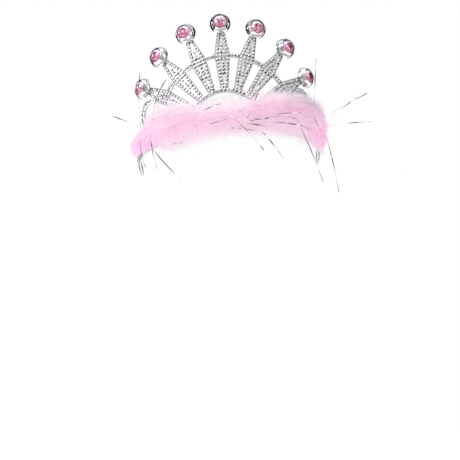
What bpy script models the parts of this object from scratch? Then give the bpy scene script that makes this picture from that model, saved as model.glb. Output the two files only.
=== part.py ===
"""Feather tiara: a silver moulded crown on an open head band, seven round stones in dome
settings, a marabou feather trim along the front and tinsel strands on a thread.

Everything is laid out flat first, as the pattern of the crown: s runs along the wall,
n stands out from it and z is the height. band_curve then bends the pattern round,
and the empty worn_tilt leans it back as it is worn. Metres, +Z up, +Y towards the back.
"""

import math
import random

import bmesh
import bpy
from mathutils import Matrix, Vector

# Band, measured along the middle of its wall
FRONT_BEND_RADIUS = 0.080
FRONT_BEND_ANGLE = math.radians(50)
CORNER_BEND_RADIUS = 0.045
ARM_TOE_IN = math.radians(2)
ARM_LENGTH = 0.021
BAND_WIDTH = 0.007
BAND_END_SHARES = (0.50, 0.86, 0.985)
WALL = 0.002
WORN_TILT = math.radians(22)

# Crown: spikes on rays from one centre, over a small half ring
FAN_DROP = 0.001
SPIKE_COUNT = 7
SPIKE_SPACING = math.radians(18.15)
SPIKE_FOOT_RADIUS = 0.0325
SPIKE_WIDEST_RADIUS = 0.0618
SPIKE_TOP_RADIUS = 0.0825
SPIKE_FOOT_WIDTH = 0.0060
SPIKE_WIDEST_WIDTH = 0.0125
SPIKE_TOP_WIDTH = 0.0058
RING_RADIUS = 0.0315
RING_WIDTH = 0.0042
RING_STONES_REACH = math.radians(60)
LINK_WIDTH = 0.0040
RIM_WIDTH = 0.0007
RIM_HEIGHT = 0.0005
EDGE_BEVEL = 0.0003
BAR_STEP = 0.0070

# Back and front face of each moulded bar, as shares of WALL out from its middle
SPIKE_FACES = (-0.50, 0.50)
BAND_FACES = (-0.48, 0.38)
APRON_FACES = (-0.47, 0.26)
RING_FACES = (-0.46, 0.34)
SCROLL_FACES = (-0.44, 0.36)
LINK_FACES = (-0.42, 0.30)
PAD_FACES = (-0.40, 0.45)

# Plain wall behind the trim, from the band up to the outer spikes
APRON_REACH = 0.0600
APRON_MIDDLE_HEIGHT = 0.0130
APRON_FOOT_SHARE = 0.40

# Side scrolls under the outer spikes: an arc, then a straight foot down to the band
SCROLL_PLACE = 0.0680
SCROLL_HEIGHT = 0.0280
SCROLL_RADIUS = 0.0100
SCROLL_START = math.radians(45)
SCROLL_END = math.radians(215)
SCROLL_WIDTH = 0.0048

# Imitation stones cast on the faces
PEBBLE_RADIUS = 0.0015
PEBBLE_HEIGHT = 0.0009
PEBBLE_PITCH = 0.0038
PEBBLE_SIDES = 5
PEBBLE_STAGGER = 0.0006
PEBBLE_ROW_SHARE = 0.86
PEBBLE_EDGE_SHARE = 0.70
ARM_STONE_PITCH = 0.0042
LINK_STONE_SHARES = (0.32, 0.68)

# Stones, their dome settings and the pads that carry them
STONE_RADIUS = 0.0056
STONE_CROWN = 0.0024
STONE_PAVILION = 0.0022
STONE_GIRDLE = 0.0004
TABLE_SHARE = 0.52
SHOULDER_SHARE = 0.78
SHOULDER_HEIGHT_SHARE = 0.62
SETTING_RISE = 0.0063
SETTING_PLACE_RADIUS = SPIKE_TOP_RADIUS + SETTING_RISE
SETTING_FLANK = 0.0027
SETTING_RADIUS = STONE_RADIUS + SETTING_FLANK
SETTING_DEPTH = 0.0055
SETTING_SIDES = 16
SETTING_FLANK_STEPS = 3
SETTING_LIP = 0.0003
SETTING_LIP_RISE = 0.0008
PAD_RADIUS = 0.0050
SEAT_GAP = 0.0003

# Marabou trim
TRIM_LEFT_REACH = 0.098
TRIM_RIGHT_REACH = 0.093
TRIM_HEIGHT = 0.042
TRIM_DEPTH = 0.022
TRIM_STATIONS = 60
TRIM_FRONT_POINTS = 13
LOCK_LENGTH = 0.0042
LOCK_LEAN = 0.0020
LOCK_FULL_HALF = 0.0126

# along: share of the reach on that side; centre, half and depth: shares of TRIM_HEIGHT
# above the band's middle, of TRIM_HEIGHT and of TRIM_DEPTH
TRIM_SECTIONS = (
    # along, centre, half, depth
    (-1.00, 0.17, 0.05, 0.08),
    (-0.95, 0.19, 0.14, 0.17),
    (-0.86, 0.16, 0.20, 0.27),
    (-0.77, 0.14, 0.22, 0.30),
    (-0.70, 0.14, 0.26, 0.32),
    (-0.62, 0.25, 0.41, 0.36),
    (-0.43, 0.18, 0.46, 0.88),
    (-0.26, 0.12, 0.38, 0.82),
    (-0.08, 0.09, 0.28, 0.60),
    (0.06, 0.09, 0.27, 0.56),
    (0.23, 0.18, 0.36, 0.74),
    (0.40, 0.27, 0.40, 0.92),
    (0.58, 0.31, 0.41, 0.94),
    (0.74, 0.35, 0.45, 0.58),
    (0.86, 0.34, 0.44, 0.40),
    (0.95, 0.25, 0.35, 0.28),
    (1.00, 0.16, 0.23, 0.16),
)

# Tinsel: a thread along the front of the trim and thin strands that spring from it
THREAD_WIDTH = 0.0010
STRAND_WIDTH = 0.0008
STRAND_STEPS = 7
THREAD_STATIONS = 42
THREAD_SHARE = 0.96
TINSEL_REACH = 0.060

# root: share of the trim's reach; along, out, up and bulge: shares of TINSEL_REACH
TINSEL_STRANDS = (
    # root, along, out, up, bulge
    (0.87, 0.01, 0.51, 0.23, 0.03),
    (0.83, 0.09, 0.63, 0.18, 0.03),
    (0.90, 0.14, 0.62, -0.03, 0.03),
    (0.62, -0.01, 0.12, 0.64, 0.00),
    (0.74, 0.41, -0.10, -1.02, 0.03),
    (0.42, 0.46, -0.06, -1.05, 0.04),
    (0.10, 0.51, 0.08, -0.72, 0.10),
    (0.00, 0.44, 0.14, -0.63, 0.08),
    (-0.62, 0.37, -0.24, -0.80, 0.15),
    (-0.57, -0.04, -0.12, -0.61, 0.05),
    (-0.67, -0.04, -0.08, -0.46, 0.05),
    (-0.62, -0.15, 0.42, 0.11, 0.02),
    (-0.67, 0.26, 0.19, 0.74, 0.03),
    (-0.50, 0.30, 0.07, 0.45, 0.06),
)

SILVER = (0.80, 0.81, 0.83)
BRIGHT_SILVER = (0.86, 0.87, 0.89)
STONE_PINK = (0.86, 0.32, 0.52)
MARABOU_PINK = (0.98, 0.68, 0.86)
TINSEL_SILVER = (0.88, 0.89, 0.92)


def clear_scene():
    for item in list(bpy.data.objects):
        bpy.data.objects.remove(item, do_unlink=True)


def make_material(name, colour, roughness, metallic):
    material = bpy.data.materials.new(name)
    material.use_nodes = True
    shader = material.node_tree.nodes["Principled BSDF"]
    shader.inputs["Base Color"].default_value = (*colour, 1.0)
    shader.inputs["Roughness"].default_value = roughness
    shader.inputs["Metallic"].default_value = metallic
    return material


def finish_mesh(name, mesh, material, parent, smooth_angle=None):
    """Names the mesh's object, gives it its material and hangs it on the tilted empty."""
    mesh.materials.clear()
    mesh.materials.append(material)
    if smooth_angle is not None:
        mesh.shade_smooth()
        mesh.set_sharp_from_angle(angle=smooth_angle)
    item = bpy.data.objects.new(name, mesh)
    bpy.context.scene.collection.objects.link(item)
    item.parent = parent
    return item


# The bend of the band


def band_curve(s):
    """Place of the wall's middle at s along it, and the way it has turned from the front."""
    side = -1.0 if s < 0 else 1.0
    run = abs(s)
    front_end = FRONT_BEND_RADIUS * FRONT_BEND_ANGLE
    arm_angle = math.radians(90) + ARM_TOE_IN
    corner_end = front_end + CORNER_BEND_RADIUS * (arm_angle - FRONT_BEND_ANGLE)
    turned = min(run, front_end) / FRONT_BEND_RADIUS
    x = FRONT_BEND_RADIUS * math.sin(turned)
    y = FRONT_BEND_RADIUS * (1 - math.cos(turned))
    if run > front_end:
        turned = FRONT_BEND_ANGLE + (min(run, corner_end) - front_end) / CORNER_BEND_RADIUS
        x += CORNER_BEND_RADIUS * (math.sin(turned) - math.sin(FRONT_BEND_ANGLE))
        y += CORNER_BEND_RADIUS * (math.cos(FRONT_BEND_ANGLE) - math.cos(turned))
    if run > corner_end:
        x += (run - corner_end) * math.cos(turned)
        y += (run - corner_end) * math.sin(turned)
    return side * x, y - WALL / 2, side * turned


def band_end():
    """Where the arms end, along the wall."""
    corner = math.radians(90) + ARM_TOE_IN - FRONT_BEND_ANGLE
    return FRONT_BEND_RADIUS * FRONT_BEND_ANGLE + CORNER_BEND_RADIUS * corner + ARM_LENGTH


def bent(s, n, z):
    """A flat pattern point in its place on the bent band."""
    x, y, turned = band_curve(s)
    return Vector((x + n * math.sin(turned), y - n * math.cos(turned), z))


def flat(s, n, z):
    """A flat pattern point as mesh coordinates, before it is bent."""
    return Vector((s, -n, z))


def bend_mesh(mesh):
    for vertex in mesh.vertices:
        s, back, z = vertex.co
        vertex.co = bent(s, -back, z)


# Flat pieces of the crown


def add_loft(work, rings):
    """Closed skin over rings of equal point counts, with both end rings filled."""
    loops = [[work.verts.new(point) for point in ring] for ring in rings]
    for low, high in zip(loops, loops[1:]):
        for a in range(len(low)):
            b = (a + 1) % len(low)
            work.faces.new((low[a], low[b], high[b], high[a]))
    work.faces.new(loops[0][::-1])
    work.faces.new(loops[-1])


def mesh_from(work, name):
    bmesh.ops.recalc_face_normals(work, faces=work.faces)
    mesh = bpy.data.meshes.new(name)
    work.to_mesh(mesh)
    work.free()
    return mesh


def plain_section(half, low, high):
    """Across, out pairs of a bar with bevelled front edges."""
    return (
        (-half, low),
        (-half, high - EDGE_BEVEL),
        (-half + EDGE_BEVEL, high),
        (half - EDGE_BEVEL, high),
        (half, high - EDGE_BEVEL),
        (half, low),
    )


def rimmed_section(half, low, high):
    """Across, out pairs of a bar with a raised rim along both edges."""
    inner = half - RIM_WIDTH
    floor = high - RIM_HEIGHT
    return (
        (-half, low),
        (-half, high - EDGE_BEVEL),
        (-half + EDGE_BEVEL, high),
        (-inner, floor),
        (inner, floor),
        (half - EDGE_BEVEL, high),
        (half, high - EDGE_BEVEL),
        (half, low),
    )


def bar_mesh(name, stations, section, faces):
    """Bar along stations of (s, z, direction, half width) in the flat pattern."""
    work = bmesh.new()
    low, high = (share * WALL for share in faces)
    rings = []
    for s, z, direction, half in stations:
        across_s = math.sin(direction)
        across_z = -math.cos(direction)
        rings.append([flat(s + a * across_s, n, z + a * across_z) for a, n in section(half, low, high)])
    add_loft(work, rings)
    return mesh_from(work, name)


def ray_point(radius, angle):
    """A point of the fan, at an angle from upright."""
    return radius * math.sin(angle), radius * math.cos(angle) - FAN_DROP


def spike_angles():
    middle = (SPIKE_COUNT - 1) / 2
    return [(place - middle) * SPIKE_SPACING for place in range(SPIKE_COUNT)]


def spike_half_width(radius):
    """Lozenge: narrow foot, widest at the links, narrow top that runs on to the pad."""
    if radius < SPIKE_WIDEST_RADIUS:
        share = (radius - SPIKE_FOOT_RADIUS) / (SPIKE_WIDEST_RADIUS - SPIKE_FOOT_RADIUS)
        start = SPIKE_FOOT_WIDTH
    else:
        share = (SPIKE_TOP_RADIUS - radius) / (SPIKE_TOP_RADIUS - SPIKE_WIDEST_RADIUS)
        share = max(share, 0.0)
        start = SPIKE_TOP_WIDTH
    return (start + (SPIKE_WIDEST_WIDTH - start) * share) / 2


def spread(start, end, longest):
    """Even steps from start to end, none longer than longest."""
    steps = max(1, math.ceil(abs(end - start) / longest))
    return [start + (end - start) * i / steps for i in range(steps + 1)]


def spike_mesh(angle):
    lower = spread(SPIKE_FOOT_RADIUS - RING_WIDTH / 4, SPIKE_WIDEST_RADIUS, BAR_STEP)
    upper = spread(SPIKE_WIDEST_RADIUS, SPIKE_TOP_RADIUS, BAR_STEP)
    stations = []
    for radius in lower + upper[1:] + [SETTING_PLACE_RADIUS - PAD_RADIUS / 2]:
        s, z = ray_point(radius, angle)
        half = spike_half_width(max(radius, SPIKE_FOOT_RADIUS))
        stations.append((s, z, math.pi / 2 - angle, half))
    return bar_mesh("spike", stations, rimmed_section, SPIKE_FACES)


def ring_angles():
    reach = math.acos((FAN_DROP + BAND_WIDTH / 4) / RING_RADIUS)
    return spread(-reach, reach, BAR_STEP / RING_RADIUS)


def ring_mesh():
    stations = []
    for angle in ring_angles():
        s, z = ray_point(RING_RADIUS, angle)
        stations.append((s, z, -angle, RING_WIDTH / 2))
    return bar_mesh("ring", stations, plain_section, RING_FACES)


def link_ends(angle):
    """Centres of the link's two ends, just inside the rims of the spikes that it joins."""
    reach = SPIKE_WIDEST_WIDTH / 2 - RIM_WIDTH / 2
    left_s, left_z = ray_point(SPIKE_WIDEST_RADIUS, angle)
    right_s, right_z = ray_point(SPIKE_WIDEST_RADIUS, angle + SPIKE_SPACING)
    first = (left_s + reach * math.cos(angle), left_z - reach * math.sin(angle))
    turn = angle + SPIKE_SPACING
    second = (right_s - reach * math.cos(turn), right_z + reach * math.sin(turn))
    return first, second


def link_mesh(angle):
    (s0, z0), (s1, z1) = link_ends(angle)
    direction = math.atan2(z1 - z0, s1 - s0)
    stations = [(s0, z0, direction, LINK_WIDTH / 2), (s1, z1, direction, LINK_WIDTH / 2)]
    return bar_mesh("link", stations, plain_section, LINK_FACES)


def band_mesh():
    """The band and both arms, with round ends."""
    half = BAND_WIDTH / 2
    end = band_end()
    steps = spread(-end + half, end - half, BAR_STEP)
    stations = [(s, 0.0, 0.0, half) for s in steps]
    for share in BAND_END_SHARES:
        width = half * math.sqrt(1 - share * share)
        stations.insert(0, (-end + half - half * share, 0.0, 0.0, width))
        stations.append((end - half + half * share, 0.0, 0.0, width))
    return bar_mesh("band", stations, plain_section, BAND_FACES)


def apron_mesh():
    """The wall that the trim is glued to: low inside the ring, up to the outer spikes beside it."""
    outer_slope = 1 / math.tan(spike_angles()[-1])
    foot = -APRON_FOOT_SHARE * BAND_WIDTH
    stations = []
    for s in spread(-APRON_REACH, APRON_REACH, BAR_STEP):
        top = APRON_MIDDLE_HEIGHT
        if abs(s) > RING_RADIUS - RING_WIDTH / 2:
            top = abs(s) * outer_slope - FAN_DROP
        stations.append((s, (top + foot) / 2, 0.0, (top - foot) / 2))
    return bar_mesh("apron", stations, plain_section, APRON_FACES)


def scroll_points(side):
    """Stations of a side scroll, from the outer spike's edge over and down to the band."""
    stations = []
    for turn in spread(SCROLL_START, SCROLL_END, BAR_STEP / 2 / SCROLL_RADIUS):
        s = -SCROLL_PLACE + SCROLL_RADIUS * math.cos(turn)
        stations.append((s, SCROLL_HEIGHT + SCROLL_RADIUS * math.sin(turn), turn + math.pi / 2))
    s_end, z_end, heading = stations[-1]
    run = (z_end - BAND_WIDTH / 4) / -math.sin(heading)
    for step in spread(0.0, run, BAR_STEP)[1:]:
        stations.append((s_end + step * math.cos(heading), z_end + step * math.sin(heading), heading))
    if side > 0:
        stations = [(-s, z, math.pi - heading) for s, z, heading in stations]
    return [(s, z, heading, SCROLL_WIDTH / 2) for s, z, heading in stations]


def scroll_mesh(side):
    return bar_mesh("scroll", scroll_points(side), plain_section, SCROLL_FACES)


def pad_mesh(angle):
    """Round pad at a spike's tip, which the setting is glued to."""
    work = bmesh.new()
    rings = []
    s, z = ray_point(SETTING_PLACE_RADIUS, angle)
    for n in (share * WALL for share in PAD_FACES):
        ring = []
        for i in range(SETTING_SIDES):
            turn = 2 * math.pi * i / SETTING_SIDES
            ring.append(flat(s + PAD_RADIUS * math.cos(turn), n, z + PAD_RADIUS * math.sin(turn)))
        rings.append(ring)
    add_loft(work, rings)
    return mesh_from(work, "pad")


# Cast imitation stones


def spike_pebbles(angle):
    """Places in rows across one spike, inside its rim."""
    places = []
    start = SPIKE_FOOT_RADIUS + PEBBLE_RADIUS
    end = SETTING_PLACE_RADIUS - SETTING_RADIUS - PEBBLE_RADIUS / 2
    rows = spread(start, end, PEBBLE_PITCH)
    for row, radius in enumerate(rows):
        room = spike_half_width(radius) - RIM_WIDTH - PEBBLE_RADIUS * PEBBLE_EDGE_SHARE
        count = 1 + int(2 * room / (PEBBLE_PITCH * PEBBLE_ROW_SHARE))
        for i in range(count):
            across = 0.0
            if count > 1:
                across = -room + 2 * room * i / (count - 1)
            s, z = ray_point(radius, angle)
            lift = PEBBLE_STAGGER * math.cos(math.pi * (row + i))
            s += across * math.cos(angle) + lift * math.sin(angle)
            z += -across * math.sin(angle) + lift * math.cos(angle)
            places.append((s, z, SPIKE_FACES[1] * WALL - RIM_HEIGHT))
    return places


def ring_pebbles():
    places = []
    for angle in spread(-RING_STONES_REACH, RING_STONES_REACH, PEBBLE_PITCH / RING_RADIUS):
        s, z = ray_point(RING_RADIUS, angle)
        places.append((s, z, RING_FACES[1] * WALL))
    return places


def link_pebbles(angle):
    (s0, z0), (s1, z1) = link_ends(angle)
    places = []
    for share in LINK_STONE_SHARES:
        places.append((s0 + (s1 - s0) * share, z0 + (z1 - z0) * share, LINK_FACES[1] * WALL))
    return places


def scroll_pebbles(side):
    return [(s, z, SCROLL_FACES[1] * WALL) for s, z, heading, half in scroll_points(side)[1:-1]]


def arm_pebbles(side):
    """A row along the arm, from where the trim ends to the arm's end."""
    start = TRIM_LEFT_REACH if side < 0 else TRIM_RIGHT_REACH
    places = []
    for s in spread(start, band_end() - BAND_WIDTH / 2, ARM_STONE_PITCH):
        places.append((side * s, 0.0, BAND_FACES[1] * WALL))
    return places


def pebbles_mesh(places):
    """Low pointed stones, sunk a little into the face that they stand on."""
    work = bmesh.new()
    sink = PEBBLE_HEIGHT / 3
    for place, (s, z, floor) in enumerate(places):
        base = []
        for i in range(PEBBLE_SIDES):
            turn = 2 * math.pi * (i + 0.5 * (place % 2)) / PEBBLE_SIDES
            point = flat(s + PEBBLE_RADIUS * math.cos(turn), floor - sink, z + PEBBLE_RADIUS * math.sin(turn))
            base.append(work.verts.new(point))
        apex = work.verts.new(flat(s, floor + PEBBLE_HEIGHT, z))
        for i in range(PEBBLE_SIDES):
            work.faces.new((base[i], base[(i + 1) % PEBBLE_SIDES], apex))
        work.faces.new(base[::-1])
    return mesh_from(work, "pebbles")


def fuse(meshes, name):
    """One closed mesh from overlapping ones, in the flat pattern."""
    base = bpy.data.objects.new(name, meshes[0])
    bpy.context.scene.collection.objects.link(base)
    others = []
    for mesh in meshes[1:]:
        other = bpy.data.objects.new(name + "_piece", mesh)
        bpy.context.scene.collection.objects.link(other)
        others.append(other)
        union = base.modifiers.new("union", "BOOLEAN")
        union.operation = "UNION"
        union.solver = "EXACT"
        union.object = other
    depsgraph = bpy.context.evaluated_depsgraph_get()
    fused = bpy.data.meshes.new_from_object(base.evaluated_get(depsgraph))
    for item in [base] + others:
        bpy.data.objects.remove(item, do_unlink=True)
    return fused


def build_frame(material, parent):
    angles = spike_angles()
    meshes = [band_mesh(), ring_mesh(), apron_mesh()]
    meshes += [spike_mesh(angle) for angle in angles]
    meshes += [link_mesh(angle) for angle in angles[:-1]]
    meshes += [pad_mesh(angle) for angle in angles]
    meshes += [scroll_mesh(side) for side in (-1, 1)]
    places = ring_pebbles()
    for angle in angles:
        places += spike_pebbles(angle)
    for angle in angles[:-1]:
        places += link_pebbles(angle)
    for side in (-1, 1):
        places += scroll_pebbles(side) + arm_pebbles(side)
    meshes.append(pebbles_mesh(places))
    mesh = fuse(meshes, "tiara_frame")
    bend_mesh(mesh)
    return finish_mesh("tiara_frame", mesh, material, parent, math.radians(30))


# Settings and stones


def turned_mesh(name, profile, sides):
    """Solid turned about local Z from (radius, height) pairs that start and end on the axis."""
    work = bmesh.new()
    first = work.verts.new((0, 0, profile[0][1]))
    last = work.verts.new((0, 0, profile[-1][1]))
    rings = []
    for radius, height in profile[1:-1]:
        ring = []
        for i in range(sides):
            turn = 2 * math.pi * i / sides
            ring.append(work.verts.new((radius * math.cos(turn), radius * math.sin(turn), height)))
        rings.append(ring)
    for i in range(sides):
        j = (i + 1) % sides
        work.faces.new((first, rings[0][j], rings[0][i]))
        for low, high in zip(rings, rings[1:]):
            work.faces.new((low[i], low[j], high[j], high[i]))
        work.faces.new((last, rings[-1][i], rings[-1][j]))
    return mesh_from(work, name)


def girdle_height():
    """The stone's girdle, above the setting's back."""
    return SETTING_DEPTH - SETTING_LIP_RISE


def setting_mesh():
    """Half ball on a flat back, cut off in front where its mouth leaves a thin lip."""
    bore = STONE_RADIUS + SEAT_GAP
    floor = girdle_height() - STONE_GIRDLE - STONE_PAVILION - 2 * SEAT_GAP
    wall_foot = girdle_height() - STONE_GIRDLE - SEAT_GAP
    mouth_turn = math.acos((bore + SETTING_LIP) / SETTING_RADIUS)
    profile = [(0.0, 0.0)]
    for step in range(SETTING_FLANK_STEPS + 1):
        turn = mouth_turn * step / SETTING_FLANK_STEPS
        height = SETTING_DEPTH * math.sin(turn) / math.sin(mouth_turn)
        profile.append((SETTING_RADIUS * math.cos(turn), height))
    profile += [(bore, SETTING_DEPTH), (bore, wall_foot), (0.0, floor)]
    return turned_mesh("setting", profile, SETTING_SIDES)


def stone_mesh():
    """Round cut stone: flat table, star, kite and girdle facets, and a pointed back."""
    sides = SETTING_SIDES
    half = sides // 2
    work = bmesh.new()

    def ring(count, radius, height, offset):
        points = []
        for i in range(count):
            turn = 2 * math.pi * (i + offset) / count
            points.append(work.verts.new((radius * math.cos(turn), radius * math.sin(turn), height)))
        return points

    table = ring(half, TABLE_SHARE * STONE_RADIUS, STONE_CROWN, 0.0)
    shoulder = ring(half, SHOULDER_SHARE * STONE_RADIUS, SHOULDER_HEIGHT_SHARE * STONE_CROWN, 0.5)
    girdle = ring(sides, STONE_RADIUS, 0.0, 0.0)
    girdle_foot = ring(sides, STONE_RADIUS, -STONE_GIRDLE, 0.0)
    point = work.verts.new((0, 0, -STONE_GIRDLE - STONE_PAVILION))
    work.faces.new(table)
    for i in range(half):
        j = (i + 1) % half
        work.faces.new((table[i], shoulder[i], table[j]))
        work.faces.new((table[i], shoulder[i - 1], girdle[2 * i]))
        work.faces.new((table[i], girdle[2 * i], shoulder[i]))
        work.faces.new((shoulder[i], girdle[2 * i], girdle[2 * i + 1]))
        work.faces.new((shoulder[i], girdle[2 * i + 1], girdle[(2 * i + 2) % sides]))
    for i in range(sides):
        j = (i + 1) % sides
        work.faces.new((girdle[i], girdle_foot[i], girdle_foot[j], girdle[j]))
        work.faces.new((girdle_foot[i], point, girdle_foot[j]))
    return mesh_from(work, "stone")


def setting_matrix(angle):
    """The setting's seat: its back just clear of the pad, its axis square to the wall."""
    s, z = ray_point(SETTING_PLACE_RADIUS, angle)
    turned = band_curve(s)[2]
    outward = Vector((math.sin(turned), -math.cos(turned), 0.0))
    up = Vector((0.0, 0.0, 1.0))
    across = up.cross(outward)
    basis = Matrix((across, up, outward)).transposed().to_4x4()
    return Matrix.Translation(bent(s, WALL / 2 + SEAT_GAP, z)) @ basis


def build_stones(setting_material, stone_material, parent):
    setting = setting_mesh()
    stone = stone_mesh()
    for number, angle in enumerate(spike_angles(), start=1):
        seat = setting_matrix(angle)
        cup = finish_mesh(f"setting_{number}", setting, setting_material, parent, math.radians(35))
        cup.matrix_local = seat
        gem = finish_mesh(f"stone_{number}", stone, stone_material, parent)
        gem.matrix_local = seat @ Matrix.Translation((0, 0, girdle_height()))


# Marabou trim


def trim_section(along):
    """Centre height, half height and depth of the trim at a share of its reach."""
    rows = TRIM_SECTIONS
    for low, high in zip(rows, rows[1:]):
        if along <= high[0]:
            share = (along - low[0]) / (high[0] - low[0])
            share = share * share * (3 - 2 * share)
            centre, half, depth = (a + (b - a) * share for a, b in zip(low[1:], high[1:]))
            return centre * TRIM_HEIGHT, half * TRIM_HEIGHT, depth * TRIM_DEPTH
    return rows[-1][1] * TRIM_HEIGHT, rows[-1][2] * TRIM_HEIGHT, rows[-1][3] * TRIM_DEPTH


def trim_place(along):
    """Distance along the wall of a share of the trim's reach."""
    reach = TRIM_LEFT_REACH if along < 0 else TRIM_RIGHT_REACH
    return along * reach


def trim_back():
    """The trim's back, just clear of the cast stones on the band."""
    return WALL / 2 + PEBBLE_HEIGHT + SEAT_GAP


def trim_mesh():
    """D-shaped body along the band's front, its skin drawn out into pointed locks."""
    chance = random.Random(7)
    work = bmesh.new()
    rings = []
    middle = TRIM_FRONT_POINTS // 2
    for station in range(TRIM_STATIONS + 1):
        along = -1.0 + 2.0 * station / TRIM_STATIONS
        centre, half, depth = trim_section(along)
        s = trim_place(along)
        ring = []
        for place in range(TRIM_FRONT_POINTS):
            turn = math.pi * (place / (TRIM_FRONT_POINTS - 1) - 0.5)
            z = centre - half * math.sin(turn)
            n = trim_back() + depth * math.cos(turn)
            is_tip = (station + place) % 2 == 0 and 0 < station < TRIM_STATIONS
            on_thread = abs(place - middle) <= 1
            if is_tip and not on_thread and 0 < place < TRIM_FRONT_POINTS - 1:
                size = min(1.0, half / LOCK_FULL_HALF)
                length = LOCK_LENGTH * size * chance.uniform(0.5, 1.0)
                z -= length * math.sin(turn)
                n += length * math.cos(turn)
                s_tip = s + LOCK_LEAN * size * chance.uniform(-1.0, 1.0)
                ring.append(bent(s_tip, n, z - LOCK_LEAN * size * 0.5))
            else:
                ring.append(bent(s, n, z))
        for share in (0.5, 0.0, -0.5):
            ring.append(bent(s, trim_back(), centre - half * share))
        rings.append(ring)
    add_loft(work, rings)
    return mesh_from(work, "marabou_trim")


def build_trim(material, parent):
    return finish_mesh("marabou_trim", trim_mesh(), material, parent)


# Tinsel


def thread_point(along):
    """The thread lies on the parting in the middle of the trim's front."""
    centre, half, depth = trim_section(along)
    clear = THREAD_WIDTH / 2 + SEAT_GAP * 2
    return bent(trim_place(along), trim_back() + depth + clear, centre)


def tube_mesh(name, points, width, end_width):
    """Four-sided tube through the points, tapering to its end."""
    work = bmesh.new()
    rings = []
    last = len(points) - 1
    for i, point in enumerate(points):
        heading = (points[min(i + 1, last)] - points[max(i - 1, 0)]).normalized()
        aside = heading.cross(Vector((0.3, -0.5, 0.8))).normalized()
        over = heading.cross(aside)
        half = (width + (end_width - width) * i / last) / 2
        rings.append([point + aside * half, point + over * half, point - aside * half, point - over * half])
    add_loft(work, rings)
    return mesh_from(work, name)


def thread_alongs():
    return [-THREAD_SHARE + 2 * THREAD_SHARE * i / THREAD_STATIONS for i in range(THREAD_STATIONS + 1)]


def strand_points(row):
    """A strand's curve from the thread's nearest bend, bulging out on the way to its end."""
    root, along, out, up, bulge = row
    place = min(thread_alongs(), key=lambda share: abs(share - root))
    start = thread_point(place)
    turned = band_curve(trim_place(place))[2]
    outward = Vector((math.sin(turned), -math.cos(turned), 0.0))
    onward = Vector((math.cos(turned), math.sin(turned), 0.0))
    reach = (onward * along + outward * out + Vector((0.0, 0.0, up))) * TINSEL_REACH
    points = []
    for i in range(STRAND_STEPS + 1):
        share = i / STRAND_STEPS
        swell = outward * 4 * bulge * TINSEL_REACH * share * (1 - share)
        points.append(start + reach * share + swell)
    return points


def build_tinsel(material, parent):
    thread = [thread_point(along) for along in thread_alongs()]
    meshes = [tube_mesh("thread", thread, THREAD_WIDTH, THREAD_WIDTH)]
    for row in TINSEL_STRANDS:
        meshes.append(tube_mesh("strand", strand_points(row), STRAND_WIDTH, STRAND_WIDTH / 2))
    mesh = fuse(meshes, "tinsel")
    return finish_mesh("tinsel", mesh, material, parent)


def main():
    clear_scene()
    tilt = bpy.data.objects.new("worn_tilt", None)
    bpy.context.scene.collection.objects.link(tilt)
    tilt.rotation_euler = (-WORN_TILT, 0.0, 0.0)
    build_frame(make_material("silver_plastic", SILVER, 0.22, 1.0), tilt)
    build_stones(
        make_material("setting_silver", BRIGHT_SILVER, 0.08, 1.0),
        make_material("pink_stone", STONE_PINK, 0.05, 0.0),
        tilt,
    )
    build_trim(make_material("marabou", MARABOU_PINK, 0.90, 0.0), tilt)
    build_tinsel(make_material("tinsel", TINSEL_SILVER, 0.10, 1.0), tilt)


main()
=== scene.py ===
"""Looks of the feather tiara: bright moulded silver with cast imitation stones, pink cut stones
in polished dome cups, marabou down drawn barb by barb, and tinsel film strands.

The crown is laid out flat, as its pattern: s runs along the wall, n stands out from it and z is
the height. to_row then bends the pattern round and leans it back, in metres.
"""

import math

import bmesh
import bpy
import numpy as np
from mathutils import Matrix, Vector


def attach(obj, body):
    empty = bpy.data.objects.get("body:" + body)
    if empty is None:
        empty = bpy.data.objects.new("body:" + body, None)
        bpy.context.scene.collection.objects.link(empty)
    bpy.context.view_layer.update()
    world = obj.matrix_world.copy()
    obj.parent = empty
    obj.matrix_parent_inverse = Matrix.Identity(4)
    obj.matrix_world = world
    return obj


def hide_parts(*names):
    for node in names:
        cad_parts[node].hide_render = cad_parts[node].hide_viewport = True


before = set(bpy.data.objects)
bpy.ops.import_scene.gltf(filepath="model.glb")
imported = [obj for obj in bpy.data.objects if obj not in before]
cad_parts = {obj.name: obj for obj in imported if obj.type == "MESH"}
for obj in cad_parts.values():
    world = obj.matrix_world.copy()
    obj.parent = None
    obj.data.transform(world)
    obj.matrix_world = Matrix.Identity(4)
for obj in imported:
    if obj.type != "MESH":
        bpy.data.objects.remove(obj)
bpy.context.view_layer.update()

# The band's bends and the lean
FRONT_BEND_RADIUS = 0.080
FRONT_BEND_ANGLE = math.radians(50)
CORNER_BEND_RADIUS = 0.045
ARM_TOE_IN = math.radians(2)
ARM_LENGTH = 0.021
BAND_WIDTH = 0.007
WALL = 0.002
WORN_TILT = math.radians(22)

# The fan of spikes, the half ring and the links
FAN_DROP = 0.001
SPIKE_COUNT = 7
SPIKE_SPACING = math.radians(18.15)
SPIKE_FOOT_RADIUS = 0.0325
SPIKE_WIDEST_RADIUS = 0.0618
SPIKE_TOP_RADIUS = 0.0825
SPIKE_FOOT_WIDTH = 0.006
SPIKE_WIDEST_WIDTH = 0.0125
SPIKE_TOP_WIDTH = 0.0058
RING_RADIUS = 0.0315
RING_WIDTH = 0.0042
LINK_WIDTH = 0.004
LINK_STATIONS = 6
RIM_WIDTH = 0.0007
RIM_HEIGHT = 0.0005
RIM_STEPS = 7
EDGE_ROUND = 0.0003
EDGE_STEPS = 4
# How strong the painted dark reflection is along a plain bar's edges; on a rimmed bar it is 1
PLAIN_EDGE_SHADE = 0.6
BAR_STEP = 0.0016
BAND_END_TURNS = np.radians((20, 40, 55, 68, 78, 85))

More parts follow.
